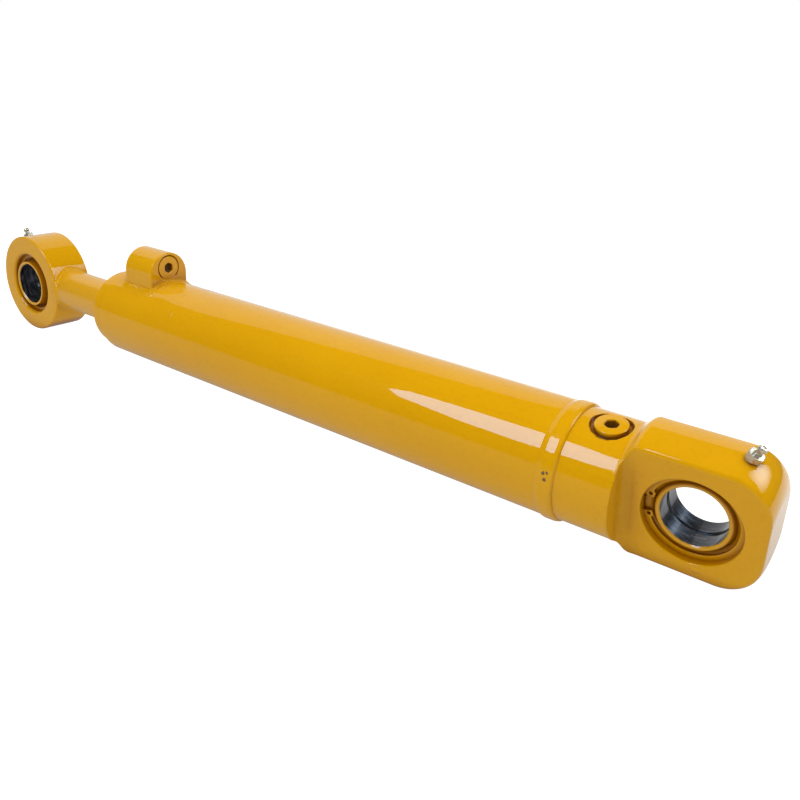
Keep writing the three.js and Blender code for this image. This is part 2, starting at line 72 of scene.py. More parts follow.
PIN_R, BEARING_R, BALL_R = 25.0, 37.5, 33.0
CAP_INNER_HALF, ROD_INNER_HALF, ROD_BALL_HALF, OUTER_HALF = 17.5, 25.0, 16.6, 14.0
CLIP_IN, CLIP_OUT, CLIP_LUG_R, CLIP_RADII = 14.45, 16.95, 30.6, (33.0, 38.9)
CAP_END, BLOCK_START, CAP_NECK, CAP_PORT, CAVITY_FLOOR = -52.9, 46.0, 52.5, 73.0, 62.0
CAP_JOINT, SPIGOT_END, HEAD_JOINT, HEAD_FACE = 104.3, 116.0, 559.5, 680.0
GLAND_SEAT, GLAND_FACE, BOSS_START, BOSS_END = 640.0, 697.0, 609.5, 656.0
BORE_R, BARREL_R, CAP_R, BEAD_R, CAVITY_R = 40.0, 49.0, 47.8, 50.4, 32.0
BLOCK_R, BLOCK_HALF, CORNER_R, SCOOP_R = 56.2, 23.2, 30.8, 8.5
BLOCK_ROLL, CAP_BALL_ROLL = math.radians(13.4), math.radians(10)
ROD_R, ROD_EYE_R, ROD_EYE_HALF, SPIGOT_R = 24.8, 60.6, 24.4, 18.0
CAP_MOUTH, ROD_MOUTH = 1.3, 4.2
GLAND_R, GLAND_FLANGE_R, GLAND_BORE_R, WIPER_R = 42.7, 44.6, 25.4, 31.0
BOSS_HALF, BOSS_CROWN, BOSS_AXIS = 24.8, 57.3, 65.0
CAP_SPOT_R, BOSS_SPOT_R, SPOT_DEPTH, PORT_R, PORT_DEPTH = 16.5, 14.1, 5.8, 10.5, 33.0
FLANGE_R, FLANGE_THICK, PLUG_LENGTH, HEX_ACROSS, HEX_DEPTH = 13.2, 4.0, 19.0, 10.0, 7.0
NIPPLE_HEX, NIPPLE_SHANK_R = 11.0, 4.3
CAP_NIPPLE_ANGLE, CAP_NIPPLE_SIDE = math.radians(27), -2.0
ROD_NIPPLE_ANGLE = math.radians(-32)
# Play in a loose fit, the gap at a seam, and the middle of the cap's spigot into the tube.
FIT_GAP, JOINT_GAP, SPIGOT_MIDDLE = 0.3, 0.7, 100.0

# ---------------------------------------------------------------- meshes


def make_piece(name, points, faces, normals, body, material, replaced):
    """A mesh piece from points and normals in the row frame, in millimetres."""
    mesh = bpy.data.meshes.new(name)
    mesh.from_pydata([tuple(p) for p in points * MM], [], faces)
    mesh.polygons.foreach_set("use_smooth", [True] * len(mesh.polygons))
    mesh.update()
    mesh.normals_split_custom_set_from_vertices([tuple(n) for n in normals])
    piece = bpy.data.objects.new(name, mesh)
    bpy.context.scene.collection.objects.link(piece)
    mesh.materials.append(material)
    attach(piece, body)
    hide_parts(*replaced)
    return piece


def unit(v):
    return v / np.maximum(np.linalg.norm(v, axis=-1, keepdims=True), 1e-12)


def roll_about_x(points, angle):
    c, s = math.cos(angle), math.sin(angle)
    turn = np.array([[1, 0, 0], [0, c, -s], [0, s, c]])
    return points @ turn.T


class Place:
    """Takes local points to the row frame: a roll about X, then a move."""

    def __init__(self, origin, roll=0.0):
        self.origin = np.array(origin, float)
        self.roll = roll

    def points(self, p):
        return roll_about_x(p, self.roll) + self.origin

    def directions(self, v):
        return roll_about_x(v, self.roll)


BARREL = Place((CAP_X, 0, AXIS_Z))
CAP_BLOCK = Place((CAP_X, 0, AXIS_Z), BLOCK_ROLL)
CAP_BALL = Place((CAP_X, 0, AXIS_Z), CAP_BALL_ROLL)
ROD_END = Place((CAP_X - PIN_TO_PIN, 0, AXIS_Z))

# ---------------------------------------------------------------- turned pieces


def soften(corners, radius, closed=True, steps=4):
    """Rounds the corners of a profile. Returns its points and the unit normals on their left side."""
    points, normals = [], []
    count = len(corners)
    for i, corner in enumerate(corners):
        here = np.array(corner[:2], float)
        wanted = corner[2] if len(corner) > 2 else radius
        end = not closed and i in (0, count - 1)
        before = np.array(corners[i - 1][:2], float)
        after = np.array(corners[(i + 1) % count][:2], float)
        back, ahead = before - here, after - here
        if end:
            along = ahead if i == 0 else -back
            along = along / np.linalg.norm(along)
            points.append(here)
            normals.append((-along[1], along[0]))
            continue
        lengths = np.linalg.norm(back), np.linalg.norm(ahead)
        back, ahead = back / lengths[0], ahead / lengths[1]
        cosine = float(np.clip(back @ ahead, -1, 1))
        half = math.acos(cosine) / 2
        if half > math.pi / 2 - 1e-3 or wanted == 0:
            mean = unit(ahead - back)
            points.append(here)
            normals.append((-mean[1], mean[0]))
            continue
        cut = min(wanted / math.tan(half), 0.45 * min(lengths))
        size = cut * math.tan(half)
        centre = here + unit(back + ahead) * size / math.sin(half)
        first, last = here + back * cut - centre, here + ahead * cut - centre
        turn = back[0] * ahead[1] - back[1] * ahead[0]
        sign = -1.0 if turn > 0 else 1.0
        for k in range(steps + 1):
            share = k / steps
            angle = math.pi - 2 * half
            spoke = (math.sin((1 - share) * angle) * first + math.sin(share * angle) * last) / math.sin(angle)
            points.append(centre + spoke)
            normals.append(tuple(-sign * spoke / size))
    return np.array(points), np.array(normals)


def refine(points, normals, longest, closed):
    """Adds points along the long straight runs of a profile."""
    out_p, out_n = [], []
    count = len(points)
    for i in range(count if closed else count - 1):
        j = (i + 1) % count
        pieces = max(1, math.ceil(np.linalg.norm(points[j] - points[i]) / longest))
        for k in range(pieces):
            out_p.append(points[i] + (points[j] - points[i]) * k / pieces)
            out_n.append(normals[i] + (normals[j] - normals[i]) * k / pieces)
    if not closed:
        out_p.append(points[-1])
        out_n.append(normals[-1])
    return np.array(out_p), unit(np.array(out_n))


def turned_piece(
    name, corners, body, material, place=BARREL, axis="X",
    segments=192, radius=0.6, longest=None, displace=None,
):
    """A piece turned about an axis from [distance along, radius] corners. Ends on the axis close it."""
    closed = corners[0][1] > 0
    points, normals = soften(corners, radius, closed)
    if longest:
        points, normals = refine(points, normals, longest, closed)
    area = np.sum(points[:, 0] * np.roll(points[:, 1], -1) - np.roll(points[:, 0], -1) * points[:, 1])
    if area > 0:
        normals = -normals
    theta = np.linspace(0, 2 * math.pi, segments, endpoint=False)
    along = np.repeat(points[:, :1], segments, axis=1)
    rho = np.repeat(points[:, 1:], segments, axis=1)
    angle = np.repeat(theta[None, :], len(points), axis=0)
    if displace is not None:
        rho = rho + displace(along, rho, angle)
    out_a = np.repeat(normals[:, :1], segments, axis=1)
    out_r = np.repeat(normals[:, 1:], segments, axis=1)

    def lay(a, radial, t):
        if axis == "X":
            return np.stack([-a, radial * np.sin(t), radial * np.cos(t)], axis=-1)
        return np.stack([radial * np.sin(t), a, radial * np.cos(t)], axis=-1)

    p = lay(along, rho, angle)
    if displace is None:
        n = lay(out_a, out_r, angle)
    else:
        du = np.roll(p, -1, axis=1) - np.roll(p, 1, axis=1)
        dv = np.gradient(p, axis=0)
        n = unit(np.cross(du, dv))
        n *= np.sign(np.sum(n * lay(out_a, out_r, angle), axis=-1, keepdims=True))
    rows = len(points)
    faces = []
    grid = np.arange(rows * segments).reshape(rows, segments)
    for i in range(rows if closed else rows - 1):
        a, b = grid[i], grid[(i + 1) % rows]
        faces += list(zip(a, np.roll(a, -1), np.roll(b, -1), b))
    if not closed:
        faces += [tuple(grid[0][::-1]), tuple(grid[-1])]
    flat_p, flat_n = p.reshape(-1, 3), n.reshape(-1, 3)
    a, b, c = flat_p[faces[0][0]], flat_p[faces[0][1]], flat_p[faces[0][2]]
    if np.dot(np.cross(b - a, c - a), flat_n[faces[0][0]]) < 0:
        faces = [tuple(int(i) for i in f[::-1]) for f in faces]
    else:
        faces = [tuple(int(i) for i in f) for f in faces]
    return make_piece(name, place.points(flat_p), faces, place.directions(flat_n), body, material, [name])


# ---------------------------------------------------------------- implicit solids

# A field is negative inside a solid, zero on its surface and about the distance to it elsewhere.


def meet(a, b, r=0.0):
    """The solid common to both, with its new edges rounded."""
    if r <= 0:
        return np.maximum(a, b)
    u, v = np.maximum(r + a, 0), np.maximum(r + b, 0)
    return np.minimum(-r, np.maximum(a, b)) + np.sqrt(u * u + v * v)


def join(a, b, r=0.0):
    """Both solids, with a fillet where they meet."""
    return -meet(-a, -b, r)


def cut(a, b, r=0.0):
    return meet(a, -b, r)


def surface_net(field, low, high, cell):
    """Points, quads and normals of a field's zero surface inside a box."""
    low, high = np.array(low, float) - 2 * cell, np.array(high, float) + 2 * cell
    size = np.ceil((high - low) / cell).astype(int) + 1
    axes = [low[k] + cell * np.arange(size[k]) for k in range(3)]
    value = field(*np.meshgrid(*axes, indexing="ij"))
    inside = value < 0
    strides = np.array([size[1] * size[2], size[2], 1])
    ids, sums, quads = [], [], []
    for k in range(3):
        lower = [slice(None)] * 3
        upper = [slice(None)] * 3
        lower[k], upper[k] = slice(0, -1), slice(1, None)
        a, b = value[tuple(lower)], value[tuple(upper)]
        corner = np.argwhere(inside[tuple(lower)] != inside[tuple(upper)])
        where = tuple(corner.T)
        share = a[where] / (a[where] - b[where])
        point = low + cell * corner
        point[:, k] += cell * share
        home = corner @ strides
        u, v = strides[(k + 1) % 3], strides[(k + 2) % 3]
        ring = np.stack([home, home - u, home - u - v, home - v], axis=1)
        ring[value[tuple(lower)][where] >= 0] = ring[value[tuple(lower)][where] >= 0][:, ::-1]
        quads.append(ring)
        ids.append(ring.reshape(-1))
        sums.append(np.repeat(point, 4, axis=0))
    ids, sums = np.concatenate(ids), np.concatenate(sums)
    cells, index = np.unique(ids, return_inverse=True)
    weight = np.bincount(index)
    points = np.stack([np.bincount(index, sums[:, k]) / weight for k in range(3)], axis=1)
    quads = np.searchsorted(cells, np.concatenate(quads))
    for _ in range(5):
        slope = gradient(field, points, 0.04)
        step = field(*points.T)[:, None] * slope / np.maximum(np.sum(slope**2, axis=1, keepdims=True), 0.2)
        points = points - np.clip(step, -cell, cell) * 0.9
    return points, quads, unit(gradient(field, points, 0.12))


def gradient(field, points, reach):
    parts = []
    for k in range(3):
        step = np.zeros(3)
        step[k] = reach
        parts.append((field(*(points + step).T) - field(*(points - step).T)) / (2 * reach))
    return np.stack(parts, axis=1)


def shaped_piece(name, field, low, high, cell, body, material, place=BARREL):
    """A piece from a field of local X, Y and Z in millimetres."""
    points, quads, normals = surface_net(field, low, high, cell)
    faces = [tuple(int(i) for i in q) for q in quads]
    return make_piece(name, place.points(points), faces, place.directions(normals), body, material, [name])


# ---------------------------------------------------------------- materials


class Nodes:
    """Short names for building a node tree."""

    def __init__(self, name, slot="yellow_paint"):
        self.material = bpy.data.materials.new(name)
        self.material["slot"] = slot
        self.material.use_nodes = True
        self.tree = self.material.node_tree
        self.shader = self.tree.nodes["Principled BSDF"]
        self.place = self.add("ShaderNodeTexCoord").outputs["Object"]

    def add(self, kind, **values):
        node = self.tree.nodes.new(kind)
        for key, value in values.items():
            setattr(node, key, value)
        return node

    def feed(self, socket, value):
        if hasattr(value, "is_linked"):
            self.tree.links.new(value, socket)
        else:
            socket.default_value = value

    def math(self, operation, *inputs, clamp=False):
        node = self.add("ShaderNodeMath", operation=operation, use_clamp=clamp)
        for socket, value in zip(node.inputs, inputs):
            self.feed(socket, value)
        return node.outputs[0]

    def noise(self, scale, detail=3.0, rough=0.5, stretch=None, vector=None):
        source = vector or self.place
        if stretch:
            mapping = self.add("ShaderNodeMapping")
            mapping.inputs["Scale"].default_value = stretch
            self.feed(mapping.inputs["Vector"], source)
            source = mapping.outputs[0]
        node = self.add("ShaderNodeTexNoise")
        self.feed(node.inputs["Vector"], source)
        node.inputs["Scale"].default_value = scale
        node.inputs["Detail"].default_value = detail
        node.inputs["Roughness"].default_value = rough
        return node.outputs[0]

    def ramp(self, value, *stops):
        """A smooth ramp from (position, number or colour) stops."""
        node = self.add("ShaderNodeValToRGB")
        band = node.color_ramp
        while len(band.elements) < len(stops):
            band.elements.new(0.5)
        for element, (position, colour) in zip(band.elements, stops):
            element.position = position
            rgb = (colour,) * 3 if isinstance(colour, (int, float)) else colour
            element.color = (*rgb, 1.0)
        self.feed(node.inputs[0], value)
        return node.outputs[0]

    def mix(self, share, a, b):
        node = self.add("ShaderNodeMix", data_type="RGBA")
        self.feed(node.inputs[0], share)
        for socket, value in ((node.inputs[6], a), (node.inputs[7], b)):
            self.feed(socket, (*value, 1.0) if isinstance(value, tuple) else value)
        return node.outputs[2]

    def multiply(self, a, b):
        node = self.add("ShaderNodeMix", data_type="RGBA", blend_type="MULTIPLY")
        node.inputs[0].default_value = 1.0
        self.feed(node.inputs[6], a)
        self.feed(node.inputs[7], b)
        return node.outputs[2]

    def bump(self, height, distance, normal=None):
        node = self.add("ShaderNodeBump")
        node.inputs["Distance"].default_value = distance
        self.feed(node.inputs["Height"], height)
        if normal:
            self.feed(node.inputs["Normal"], normal)
        return node.outputs[0]

    def axis(self, letter):
        node = self.add("ShaderNodeSeparateXYZ")
        self.feed(node.inputs[0], self.place)
        return node.outputs[letter]

    def near(self, centre, reach):
        """1 at a point, falling to 0 at a reach in metres."""
        node = self.add("ShaderNodeVectorMath", operation="DISTANCE")
        self.feed(node.inputs[0], self.place)
        node.inputs[1].default_value = centre
        away = self.math("DIVIDE", node.outputs["Value"], reach)
        return self.math("SUBTRACT", 1.0, away, clamp=True)

    def set(self, **values):
        for key, value in values.items():
            self.feed(self.shader.inputs[key.replace("_", " ")], value)


# Paint, painted shade in its crevices and in the tool sockets, and bare chips: linear colours, and reaches in
# metres.
PAINT_TONES = ((0.755, 0.372, 0.0008), (0.79, 0.398, 0.0012))
CREVICE_SHADE_TINT, CREVICE_SHADE_REACH = (0.46, 0.30, 0.20), 0.020
SOCKET_SHADE_TONE, SOCKET_SHADE_REACH = (0.22, 0.10, 0.010), 0.0068
BARE_TONES = ((0.10, 0.055, 0.016), (0.32, 0.20, 0.07))
BASE_IOR, BASE_SPECULAR, COAT_IOR, COAT_ROUGHNESS = 1.45, 0.02, 1.42, 0.035
PAINTED_ROUGHNESS = (0.32, 0.32, 0.32)


def paint_colour(n):
    """Yellow enamel with a slow drift of tone, fine specks and painted shade darkening its crevices."""
    broad = n.ramp(n.noise(9.0, 4.0), (0.35, PAINT_TONES[0]), (0.68, PAINT_TONES[1]))
    speck = n.ramp(n.noise(260.0, 2.0), (0.30, 0.96), (0.5, 1.0))
    # Painted shade: the colour darkens where ambient occlusion finds nearby surfaces, in crevices and
    # recesses.
    open_air = n.add("ShaderNodeAmbientOcclusion", samples=8)
    open_air.inputs["Distance"].default_value = CREVICE_SHADE_REACH
    crevice_shade = n.ramp(open_air.outputs["AO"], (0.34, CREVICE_SHADE_TINT), (0.90, 1.0))
    return n.multiply(n.multiply(broad, speck), crevice_shade)


def paint_bump(n):
    """Orange peel over a slow waviness."""
    peel = n.bump(n.noise(420.0, 2.0), 0.00003)
    return n.bump(n.noise(38.0, 1.0, stretch=(0.35, 1.0, 1.0)), 0.00022, peel)


def gloss(n, roughness):
    """A wet-looking clear coat over a base that hardly shines."""
    n.set(IOR=BASE_IOR, Coat_Weight=1.0, Coat_Roughness=COAT_ROUGHNESS, Coat_IOR=COAT_IOR)
    n.set(Roughness=roughness)
    n.shader.inputs["Specular IOR Level"].default_value = BASE_SPECULAR


def yellow_paint(name="yellow_paint", chips=(), socket=None):
    """Glossy yellow, with bare chips and painted shade darkening the inside of the tool socket where they are
    given.
    """
    n = Nodes(name)
    colour = paint_colour(n)
    if socket:
        # Painted shade: the colour darkens towards a point deep in the hex socket's recess.
        dark = n.ramp(n.near(socket, SOCKET_SHADE_REACH), (0.0, 0.0), (0.16, 1.0))
        colour = n.mix(dark, colour, SOCKET_SHADE_TONE)
    worn = None
    for centre, reach in chips:
        edge = n.math("MULTIPLY", n.noise(900.0, 3.0), 0.9)
        spot = n.math("GREATER_THAN", n.math("SUBTRACT", n.near(centre, reach), edge), 0.05)
        worn = spot if worn is None else n.math("MAXIMUM", worn, spot)
    roughness = n.ramp(n.noise(60.0, 3.0), (0.3, 0.26), (0.7, 0.40))
    if worn is not None:
        bare = n.ramp(n.noise(1500.0, 2.0), (0.4, BARE_TONES[0]), (0.66, BARE_TONES[1]))
        colour = n.mix(worn, colour, bare)
    n.set(Base_Color=colour, Normal=paint_bump(n))
    gloss(n, roughness)
    return n.material


# Oil, steel under it and scuffed steel in the bores of the bearings' inner rings.
OILED_STEEL = ((0.018, 0.019, 0.022), (0.075, 0.08, 0.095), (0.26, 0.27, 0.30))
RING_FACE_R, PAINT_RAGGED = 0.028, 0.0016


def ring_material(name, place, bore_paint):
    """Painted faces, and a dark oily bore with scuffs that run round it."""
    n = Nodes(name, "oiled_steel")
    local = n.add("ShaderNodeMapping", vector_type="TEXTURE")
    local.inputs["Location"].default_value = tuple(place.origin * MM)
    local.inputs["Rotation"].default_value = (place.roll, 0, 0)
    n.feed(local.inputs["Vector"], n.place)
    split = n.add("ShaderNodeSeparateXYZ")
    n.feed(split.inputs[0], local.outputs[0])
    x, y, z = split.outputs
    rho = n.math("SQRT", n.math("ADD", n.math("MULTIPLY", x, x), n.math("MULTIPLY", z, z)))
    depth = n.math("ABSOLUTE", y)
    ragged = n.math("MULTIPLY", n.math("SUBTRACT", n.noise(150.0, 3.0), 0.5), PAINT_RAGGED)
    outside = n.math("GREATER_THAN", n.math("ADD", rho, n.math("MULTIPLY", ragged, 0.3)), RING_FACE_R)
    lip = n.math("GREATER_THAN", n.math("ADD", depth, ragged), bore_paint * MM)
    painted = n.math("MAXIMUM", outside, lip)
    around = n.add("ShaderNodeCombineXYZ")
    stretched = (n.math("MULTIPLY", x, 1.5), n.math("MULTIPLY", y, 5.0), z)
    for socket, value in zip(around.inputs, stretched):
        n.feed(socket, value)
    scuffs = n.noise(70.0, 5.0, 0.65, vector=around.outputs[0])
    patches = n.noise(38.0, 3.0, vector=local.outputs[0])
    steel = n.ramp(scuffs, (0.34, OILED_STEEL[0]), (0.52, OILED_STEEL[1]), (0.70, OILED_STEEL[2]))
    steel = n.mix(n.ramp(patches, (0.46, 0.0), (0.68, 0.7)), steel, OILED_STEEL[0])
    n.set(Base_Color=n.mix(painted, steel, paint_colour(n)))
    n.set(Metallic=n.math("MULTIPLY", n.math("SUBTRACT", 1.0, painted), 0.75))
    rough = n.ramp(scuffs, (0.3, 0.24), (0.7, 0.5))
    n.set(Roughness=n.mix(painted, rough, PAINTED_ROUGHNESS))
    n.set(Normal=n.bump(scuffs, 0.00012, paint_bump(n)))
    n.set(IOR=BASE_IOR, Coat_Weight=0.7, Coat_Roughness=0.06, Coat_IOR=COAT_IOR)
    return n.material


GRAIN_BUMP = 0.00004


def metal(name, slot, tones, rough, scale=300.0, stretch=(1, 1, 1), metallic=1.0):
    """A finish with a fine grain between two tones and a slow drift of tone and roughness."""
    n = Nodes(name, slot)
    grain = n.noise(scale, 4.0, 0.6, stretch=stretch)
    broad = n.noise(45.0, 3.0)
    colour = n.ramp(grain, (0.3, tones[0]), (0.7, tones[1]))
    n.set(Base_Color=n.mix(n.ramp(broad, (0.4, 0.0), (0.75, 0.35)), colour, tones[0]))
    n.set(Roughness=n.ramp(broad, (0.3, rough[0]), (0.7, rough[1])), Metallic=metallic)
    n.set(Normal=n.bump(grain, GRAIN_BUMP))
    return n.material


CHROME_TONES, PAINT_SETBACK = ((0.62, 0.63, 0.65), (0.74, 0.75, 0.77)), 1.5


def rod_material():
    """Hard chrome ground round the bar, painted where it stands out of the closed gland."""
    n = Nodes("rod_finish", "chrome_bar")
    grind = n.noise(1.0, 3.0, 0.6, stretch=(3000, 60, 60))
    wander = n.math("MULTIPLY", n.math("SUBTRACT", n.noise(90.0), 0.5), 0.0015)
    x = n.math("ADD", n.axis("X"), wander)
    painted = n.math("LESS_THAN", x, (CAP_X - GLAND_FACE - PAINT_SETBACK) * MM)
    chrome = n.ramp(grind, (0.3, CHROME_TONES[0]), (0.7, CHROME_TONES[1]))
    n.set(Base_Color=n.mix(painted, chrome, paint_colour(n)))
    n.set(Metallic=n.math("SUBTRACT", 1.0, painted))
    polish = n.ramp(grind, (0.3, 0.05), (0.7, 0.11))
    n.set(Roughness=n.mix(painted, polish, PAINTED_ROUGHNESS))
    n.set(Normal=n.bump(grind, 0.000004, paint_bump(n)))
    n.set(Coat_Weight=0.5, Coat_Roughness=COAT_ROUGHNESS, Coat_IOR=COAT_IOR)
    return n.material


# Chips in the paint of the cap weld: station, angle from the top towards the front, and reach.
CHIPS = ((105.6, 81.0, 0.0030), (102.6, 80.0, 0.0023), (103.6, 86.5, 0.0030))


def on_bead(station, angle):
    """A point on the crown of the cap weld, in metres."""
    a = math.radians(angle)
    point = BARREL.points(np.array([-station, -BEAD_R * math.sin(a), BEAD_R * math.cos(a)]))
    return tuple(point * MM)


CHIP_SPOTS = [(on_bead(station, angle), reach) for station, angle, reach in CHIPS]

paint = yellow_paint()
bead_paint = yellow_paint("yellow_paint_bead", CHIP_SPOTS)
cap_ring_finish = ring_material("cap_ring_finish", CAP_BALL, CAP_INNER_HALF - 1.0)
rod_ring_finish = ring_material("rod_ring_finish", ROD_END, ROD_INNER_HALF - 1.1)
rod_finish = rod_material()

ZINC_TONES = ((0.50, 0.42, 0.30), (0.86, 0.77, 0.61))
STEEL_TONES = ((0.30, 0.31, 0.33), (0.52, 0.53, 0.55))
BRONZE_TONES = ((0.35, 0.19, 0.06), (0.60, 0.36, 0.14))
RUBBER_TONES = ((0.012, 0.012, 0.013), (0.028, 0.028, 0.03))
SEAL_TONES = ((0.03, 0.09, 0.2), (0.05, 0.14, 0.3))
TURNING_MARKS = (2600, 90, 90)

zinc = metal("zinc_plate", "zinc", ZINC_TONES, (0.22, 0.34), 700.0, metallic=0.68)
steel = metal("machined_steel", "machined_steel", STEEL_TONES, (0.28, 0.45), 1.0, TURNING_MARKS)
bronze = metal("bearing_bronze", "bronze", BRONZE_TONES, (0.35, 0.5), 400.0)
rubber = metal("black_rubber", "rubber", RUBBER_TONES, (0.5, 0.7), 500.0, metallic=0.0)
blue_seal = metal("blue_polyurethane", "polyurethane", SEAL_TONES, (0.35, 0.5), 200.0, metallic=0.0)

# ---------------------------------------------------------------- cap end


# The milled flats run out with a soft edge on the block and a crisp one on the neck.
BLOCK_EDGE, NECK_EDGE, EDGE_BLEND = 2.6, 1.1, (36.0, 46.0)
# A small run of paint below the bore: its X and Z, and its size.
DRIP_X, DRIP_Z, DRIP_SIZE = 8.0, -42.5, 2.8


def cap_eye_field(x, y, z):
    s, rho = -x, np.hypot(y, z)
    corner_s, corner_r = CAP_END + CORNER_R, BLOCK_R - CORNER_R
    ball = np.hypot(s - corner_s, rho - corner_r) - CORNER_R
    block = np.where((s < corner_s) & (rho > corner_r), ball, np.maximum(CAP_END - s, rho - BLOCK_R))
    slope = np.array([BLOCK_R - CAP_R, CAP_NECK - BLOCK_START])
    slope = slope / np.linalg.norm(slope)
    cone = (s - BLOCK_START) * slope[0] + (rho - BLOCK_R) * slope[1]
    block = meet(block, cone, 2.5)
    neck = meet(rho - CAP_R, s - (CAP_JOINT - JOINT_GAP), 0.5)
    neck = meet(neck, -s, 0.0)
    body = join(block, neck, 2.0)
    keep = join(np.abs(y) - BLOCK_HALF, CAP_NECK - s, SCOOP_R)
    blend = np.clip((s - EDGE_BLEND[0]) / (EDGE_BLEND[1] - EDGE_BLEND[0]), 0, 1)
    body = meet(body, keep, BLOCK_EDGE) * (1 - blend) + meet(body, keep, NECK_EDGE) * blend
    body = cut(body, np.hypot(x, z) - BEARING_R, CAP_MOUTH)
    spot = np.maximum(np.hypot(s - CAP_PORT, y) - CAP_SPOT_R, CAP_R + 0.2 - SPOT_DEPTH - z)
    body = cut(body, spot, 0.7)
    hole = np.maximum(np.hypot(s - CAP_PORT, y) - PORT_R, -z)
    body = cut(body, hole, 0.3)
    spigot_half = SPIGOT_END - SPIGOT_MIDDLE
    spigot = np.maximum(rho - (BORE_R - 2 * FIT_GAP), np.abs(s - SPIGOT_MIDDLE) - spigot_half)
    body = join(body, spigot, 0.0)
    body = cut(body, np.maximum(rho - CAVITY_R, CAVITY_FLOOR - s), 0.5)
    drip = np.sqrt((x - DRIP_X) ** 2 + (z - DRIP_Z) ** 2 * 3 + (y + BLOCK_HALF) ** 2 * 20)
    return join(body, drip - DRIP_SIZE, 1.5)


shaped_piece(
    "cap_eye", cap_eye_field, (-SPIGOT_END, -BLOCK_R, -BLOCK_R), (-CAP_END, BLOCK_R, BLOCK_R),
    1.1, "barrel", paint, CAP_BLOCK,
)


def ball_half_angle(half):
    return math.asin(half / BALL_R)


def inner_ring(half, ball_half, chamfer):
    """Profile of an inner ring: the ball, its shoulders if it is longer, and the grooved bore."""
    angle = ball_half_angle(ball_half)
    ball = [(BALL_R * math.sin(a), BALL_R * math.cos(a), 0.0) for a in np.linspace(-angle, angle, 25)]
    shoulder = [(half, BALL_R * math.cos(angle))] if half > ball_half else []
    return [
        *[(-a, r) for a, r in shoulder], *ball, *shoulder,
        (half, PIN_R + chamfer), (half - chamfer, PIN_R),
        (2.4, PIN_R), (1.5, PIN_R + 1.5), (-1.5, PIN_R + 1.5), (-2.4, PIN_R),
        (chamfer - half, PIN_R), (-half, PIN_R + chamfer),
    ]


def outer_ring():
    seat = BALL_R + 0.3
    angle = math.asin(OUTER_HALF / seat)
    inside = [(seat * math.sin(a), seat * math.cos(a), 0.0) for a in np.linspace(angle, -angle, 21)]
    outside = BEARING_R - 0.1
    return [*inside, (-OUTER_HALF, outside, 0.8), (OUTER_HALF, outside, 0.8)]


def circlip_field(side, gap_side):
    """An internal circlip on one side of a bearing, with its two lugs either side of the gap."""
    gap, lug = math.radians(12), math.radians(21)
    inner, outer = CLIP_RADII

    def field(x, y, z):
        rho = np.hypot(x, z)
        turn = np.abs(np.arctan2(z, gap_side * x))
        flat = np.abs(y - side * (CLIP_IN + CLIP_OUT) / 2) - (CLIP_OUT - CLIP_IN) / 2
        ring = np.maximum(rho - outer, inner - rho)
        lug_sides = rho * np.sin(np.minimum(turn - lug, 1.5))
        lugs = np.maximum(np.maximum(rho - outer, CLIP_LUG_R - rho), lug_sides)
        plate = join(ring, lugs, 2.0)
        plate = meet(plate, -rho * np.sin(np.clip(turn - gap, -1.5, 1.5)), 0.8)
        middle = (CLIP_LUG_R + outer) / 2 - 0.8
        pin = np.hypot(rho - middle, rho * (turn - (gap + lug) / 2)) - 1.5
        plate = cut(plate, pin, 0.3)
        return meet(plate, flat, 0.5)

    return field


def bearing(end, place, body, ball_body, half, ball_half, chamfer, gap_side, finish):
    turned_piece(f"{end}_bearing_outer", outer_ring(), body, paint, place, axis="Y", segments=160)
    profile = inner_ring(half, ball_half, chamfer)
    ring_place = CAP_BALL if end == "cap" else place
    turned_piece(
        f"{end}_bearing_inner", profile, ball_body, finish, ring_place, axis="Y", segments=160, radius=0.5
    )
    reach = CLIP_RADII[1] + 1
    for side, word in ((-1, "front"), (1, "back")):
        near, far = sorted((side * CLIP_IN, side * CLIP_OUT))
        shaped_piece(
            f"{end}_circlip_{word}", circlip_field(side, gap_side), (-reach, near, -reach),
            (reach, far, reach), 0.6, body, paint, place,
        )


bearing("cap", CAP_BLOCK, "barrel", "cap_ball", CAP_INNER_HALF, CAP_INNER_HALF, 1.0, -1, cap_ring_finish)

# ---------------------------------------------------------------- plugs and nipples


def hexagon(u, v, across):
    """Distance to a regular hexagon, by its three pairs of flats."""
    flats = [np.abs(u * math.cos(a) + v * math.sin(a)) for a in (0, math.pi / 3, 2 * math.pi / 3)]
    return np.maximum.reduce(flats) - across / 2


def plug_field(depth, u, v):
    """A flanged plug with its top at zero and its depth growing inwards."""
    rho = np.hypot(u, v)
    flange = meet(rho - FLANGE_R, np.abs(depth - FLANGE_THICK / 2) - FLANGE_THICK / 2, 0.9)
    shank = meet(rho - (PORT_R - 0.3), np.abs(depth - PLUG_LENGTH / 2) - PLUG_LENGTH / 2, 0.8)
    body = join(flange, shank, 0.4)
    socket = np.maximum(hexagon(u, v, HEX_ACROSS), depth - HEX_DEPTH)
    body = cut(body, socket, 0.6)
    return cut(body, np.maximum(rho - HEX_ACROSS * 0.56, depth - 0.5), 0.4)


SOCKET_MIDDLE = 4.2
PLUG_REACH = FLANGE_R + 0.5
CAP_PLUG = Place(CAP_BLOCK.points(np.array([-CAP_PORT, 0, CAP_R + 0.2])), BLOCK_ROLL)
cap_socket = CAP_PLUG.points(np.array([0, 0, -SOCKET_MIDDLE])) * MM
cap_plug_paint = yellow_paint("yellow_paint_cap_plug", socket=tuple(cap_socket))
shaped_piece(
    "cap_port_plug", lambda x, y, z: plug_field(-z, x, y), (-PLUG_REACH, -PLUG_REACH, -PLUG_LENGTH),
    (PLUG_REACH, PLUG_REACH, 0), 0.5, "barrel", cap_plug_paint, CAP_PLUG,
)
HEAD_PLUG = Place(BARREL.points(np.array([-BOSS_START, 0, BOSS_AXIS])))
head_socket = HEAD_PLUG.points(np.array([-SOCKET_MIDDLE, 0, 0])) * MM
head_plug_paint = yellow_paint("yellow_paint_head_plug", socket=tuple(head_socket))
